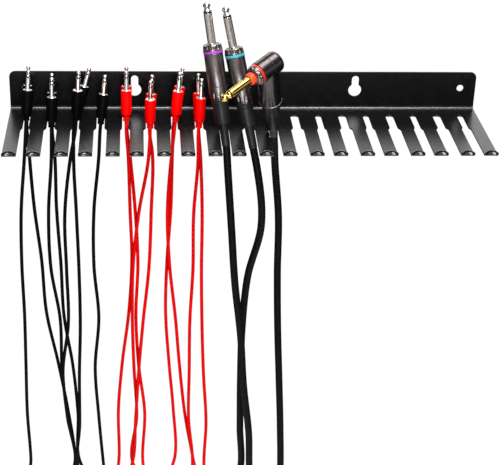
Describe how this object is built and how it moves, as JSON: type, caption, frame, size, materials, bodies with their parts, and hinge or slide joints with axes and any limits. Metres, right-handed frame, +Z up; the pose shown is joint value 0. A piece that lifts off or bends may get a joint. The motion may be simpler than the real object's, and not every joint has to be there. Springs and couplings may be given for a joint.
{
  "type": "wall cable rack with hung audio cables",
  "caption": "Black sheet-steel comb rack for a wall, with thin black and red patch cables and thicker instrument cables hung by their plugs in its slots.",
  "frame": {"origin": "on the wall face, midway between the two keyholes, at the height of their round parts", "axes": "+X along the rack to the right as seen from the front, +Y into the wall, +Z up"},
  "size_m": [0.3712, 0.0922, 0.5494],
  "materials": {
    "satin_black_steel": "satin black powder coat on steel sheet",
    "black_patch_cord": "soft matt PVC",
    "red_patch_cord": "soft satin PVC",
    "black_moulding": "moulded PVC",
    "red_moulding": "moulded PVC",
    "nickel_contact": "bright nickel plating",
    "insulator": "moulded insulating ring and tube",
    "instrument_cord": "matt PVC jacket",
    "boot_rubber": "matt rubber",
    "gold_contact": "gold plating",
    "dark_chrome": "dark chrome",
    "gunmetal_shell": "dark satin chrome",
    "violet_ring": "satin",
    "cyan_ring": "satin",
    "red_ring": "satin",
    "orange_collar": "glossy"
  },
  "bodies": {
    "rack": {"rack_bracket": "satin_black_steel"},
    "patch_cable_1": {"patch_1_cord": "black_patch_cord", "patch_1_grips": "black_moulding", "patch_1_contacts": "nickel_contact", "patch_1_insulators": "insulator"},
    "patch_cable_2": {"patch_2_cord": "black_patch_cord", "patch_2_grips": "black_moulding", "patch_2_contacts": "nickel_contact", "patch_2_insulators": "insulator"},
    "patch_cable_3": {"patch_3_cord": "black_patch_cord", "patch_3_grips": "black_moulding", "patch_3_contacts": "nickel_contact", "patch_3_insulators": "insulator"},
    "patch_cable_4": {"patch_4_cord": "black_patch_cord", "patch_4_grips": "black_moulding", "patch_4_contacts": "nickel_contact", "patch_4_insulators": "insulator"},
    "patch_cable_5": {"patch_5_cord": "red_patch_cord", "patch_5_grips": "red_moulding", "patch_5_contacts": "nickel_contact", "patch_5_insulators": "insulator"},
    "patch_cable_6": {"patch_6_cord": "red_patch_cord", "patch_6_grips": "red_moulding", "patch_6_contacts": "nickel_contact", "patch_6_insulators": "insulator"},
    "patch_cable_7": {"patch_7_cord": "red_patch_cord", "patch_7_grips": "red_moulding", "patch_7_contacts": "nickel_contact", "patch_7_insulators": "insulator"},
    "patch_cable_8": {"patch_8_cord": "red_patch_cord", "patch_8_grips": "red_moulding", "patch_8_contacts": "nickel_contact", "patch_8_insulators": "insulator"},
    "pair_cable": {"pair_cord": "instrument_cord", "pair_tips": "nickel_contact", "pair_insulators": "insulator", "pair_sleeves": "nickel_contact", "pair_crowns": "dark_chrome", "pair_shells": "gunmetal_shell", "violet_ring": "violet_ring", "cyan_ring": "cyan_ring"},
    "violet_plug_boot": {"violet_boot": "boot_rubber"},
    "cyan_plug_boot": {"cyan_boot": "boot_rubber"},
    "angle_cable": {"angle_cord": "instrument_cord", "angle_tip": "gold_contact", "angle_insulator": "insulator", "angle_sleeve": "gold_contact", "angle_crown": "dark_chrome", "angle_ring": "red_ring", "angle_shell": "gunmetal_shell", "tail_tip": "nickel_contact", "tail_insulator": "insulator", "tail_sleeve": "nickel_contact", "tail_crown": "dark_chrome", "tail_ring": "red_ring", "tail_shell": "gunmetal_shell"},
    "plug_collar": {"angle_collar": "orange_collar"},
    "angle_plug_boot": {"angle_boot": "boot_rubber"},
    "tail_plug_boot": {"tail_boot": "boot_rubber"}
  },
  "joints": [
    {"name": "patch_1_take_off", "type": "slide", "parent": "rack", "child": "patch_cable_1", "axis": [0, -0.9986, 0.0523], "range_m": [0, 0.085]},
    {"name": "patch_2_take_off", "type": "slide", "parent": "rack", "child": "patch_cable_2", "axis": [0, -0.9986, 0.0523], "range_m": [0, 0.085]},
    {"name": "patch_3_take_off", "type": "slide", "parent": "rack", "child": "patch_cable_3", "axis": [0, -0.9986, 0.0523], "range_m": [0, 0.085]},
    {"name": "patch_4_take_off", "type": "slide", "parent": "rack", "child": "patch_cable_4", "axis": [0, -0.9986, 0.0523], "range_m": [0, 0.085]},
    {"name": "patch_5_take_off", "type": "slide", "parent": "rack", "child": "patch_cable_5", "axis": [0, -0.9986, 0.0523], "range_m": [0, 0.085]},
    {"name": "patch_6_take_off", "type": "slide", "parent": "rack", "child": "patch_cable_6", "axis": [0, -0.9986, 0.0523], "range_m": [0, 0.085]},
    {"name": "patch_7_take_off", "type": "slide", "parent": "rack", "child": "patch_cable_7", "axis": [0, -0.9986, 0.0523], "range_m": [0, 0.085]},
    {"name": "patch_8_take_off", "type": "slide", "parent": "rack", "child": "patch_cable_8", "axis": [0, -0.9986, 0.0523], "range_m": [0, 0.085]},
    {"name": "pair_take_off", "type": "slide", "parent": "rack", "child": "pair_cable", "axis": [0, -0.9996, 0.0297], "range_m": [0, 0.06]},
    {"name": "angle_take_off", "type": "slide", "parent": "rack", "child": "angle_cable", "axis": [0, -0.9996, 0.0297], "range_m": [0, 0.06]},
    {"name": "collar_push", "type": "slide", "parent": "angle_cable", "child": "plug_collar", "axis": [0.7583, 0.5554, 0.3413], "range_m": [0, 0.0035]},
    {"name": "violet_boot_unscrew", "type": "hinge", "parent": "pair_cable", "child": "violet_plug_boot", "pos_m": [-0.0201, -0.0472, -0.0093], "axis": [0.1459, -0.2192, -0.9647], "range_deg": [0, 360]},
    {"name": "cyan_boot_unscrew", "type": "hinge", "parent": "pair_cable", "child": "cyan_plug_boot", "pos_m": [-0.0001, -0.0472, -0.0116], "axis": [0.2059, -0.2251, -0.9523], "range_deg": [0, 360]},
    {"name": "angle_boot_unscrew", "type": "hinge", "parent": "angle_cable", "child": "angle_plug_boot", "pos_m": [0.0185, -0.0472, -0.012], "axis": [0.1367, 0.2863, -0.9483], "range_deg": [0, 360]},
    {"name": "tail_boot_unscrew", "type": "hinge", "parent": "angle_cable", "child": "tail_plug_boot", "pos_m": [0.03805, -0.046, -0.3735], "axis": [0, 0, 1], "range_deg": [0, 360]}
  ],
  "couplings": [
    {"joint": "patch_2_take_off", "follows": "patch_1_take_off", "ratio": 1},
    {"joint": "patch_3_take_off", "follows": "patch_1_take_off", "ratio": 1},
    {"joint": "patch_6_take_off", "follows": "patch_5_take_off", "ratio": 1},
    {"joint": "patch_8_take_off", "follows": "patch_7_take_off", "ratio": 1},
    {"joint": "pair_take_off", "follows": "angle_take_off", "ratio": 1}
  ]
}
